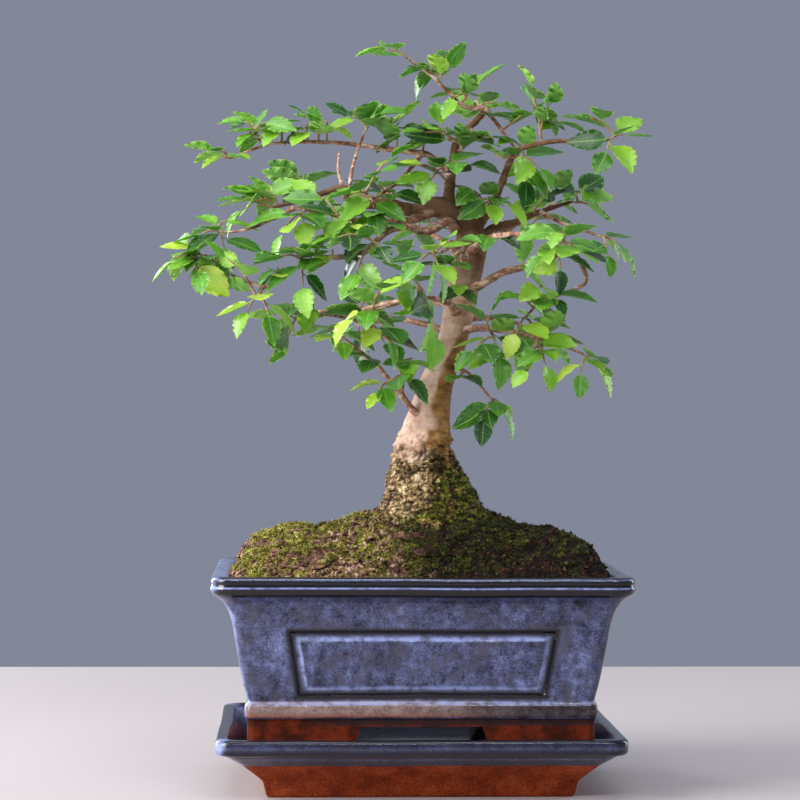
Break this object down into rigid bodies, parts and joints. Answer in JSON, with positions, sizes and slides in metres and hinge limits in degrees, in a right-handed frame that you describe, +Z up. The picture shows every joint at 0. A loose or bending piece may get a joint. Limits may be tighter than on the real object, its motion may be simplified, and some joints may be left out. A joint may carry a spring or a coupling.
{
  "type": "potted bonsai tree",
  "caption": "Small zelkova bonsai with a flared, curved trunk and a flat, airy crown of toothed leaves, in a mounded rectangular blue-glazed pot that stands in its matching saucer",
  "frame": {"origin": "On the surface that the saucer stands on, under the middle of the whole plant's bounding box", "axes": "+Z up, which is the longest way; +X to the viewer's right along the pot's long side; -Y towards the viewer, out of the pot's front panel"},
  "size_m": [0.194, 0.1456, 0.2904],
  "materials": {
    "glaze": "gloss",
    "soil": "matte",
    "moss": "matte",
    "bark": "matte",
    "leaf": "satin",
    "mesh_plastic": "matte",
    "wire": "satin"
  },
  "bodies": {
    "root": {"drain_mesh_left": "mesh_plastic", "drain_mesh_right": "mesh_plastic", "leafy_shoot_01_top_sprig": "leaf", "leafy_shoot_02_top_sprig": "leaf", "leafy_shoot_03_top_sprig": "leaf", "leafy_shoot_04_top_right": "leaf", "leafy_shoot_05_top_back": "leaf", "leafy_shoot_06_leader": "leaf", "leafy_shoot_07_leader": "leaf", "leafy_shoot_08_right_upper": "leaf", "leafy_shoot_09_right_upper": "leaf", "leafy_shoot_10_right_upper": "leaf", "leafy_shoot_11_right_upper": "leaf", "leafy_shoot_12_right_mid": "leaf", "leafy_shoot_13_right_mid": "leaf", "leafy_shoot_14_right_mid_low": "leaf", "leafy_shoot_15_right_front": "leaf", "leafy_shoot_16_right_back": "leaf", "leafy_shoot_17_right_low": "leaf", "leafy_shoot_18_right_low": "leaf", "leafy_shoot_19_right_low": "leaf", "leafy_shoot_20_low_right_front": "leaf", "leafy_shoot_21_low_right_front": "leaf", "leafy_shoot_22_low_right_front": "leaf", "leafy_shoot_23_low_right_back": "leaf", "leafy_shoot_24_bottom_right": "leaf", "leafy_shoot_25_left_low": "leaf", "leafy_shoot_26_left_low": "leaf", "leafy_shoot_27_left_low_twig": "leaf", "leafy_shoot_28_left_low_twig": "leaf", "leafy_shoot_29_left_main": "leaf", "leafy_shoot_30_left_main": "leaf", "leafy_shoot_31_left_upright": "leaf", "leafy_shoot_32_upper_left": "leaf", "leafy_shoot_33_upper_left_fork": "leaf", "leafy_shoot_34_upper_left": "leaf", "leafy_shoot_35_upper_left": "leaf", "leafy_shoot_36_diagonal": "leaf", "leafy_shoot_37_left_mid": "leaf", "leafy_shoot_38_left_mid": "leaf", "leafy_shoot_39_left_mid_tip": "leaf", "leafy_shoot_40_left_centre": "leaf", "leafy_shoot_41_left_centre": "leaf", "leafy_shoot_42_left_tip": "leaf", "leafy_shoot_43_left_centre": "leaf", "leafy_shoot_44_left_back": "leaf", "leafy_shoot_45_back": "leaf", "leafy_shoot_46_back_low": "leaf", "leafy_shoot_47_front_low": "leaf", "leafy_shoot_48_front_low": "leaf", "leafy_shoot_49_front": "leaf", "mesh_wire_left": "wire", "mesh_wire_right": "wire", "moss_around_trunk": "moss", "moss_left": "moss", "moss_right": "moss", "pot": "glaze", "saucer": "glaze", "soil": "soil", "trunk_and_branches": "bark"}
  },
  "joints": []
}
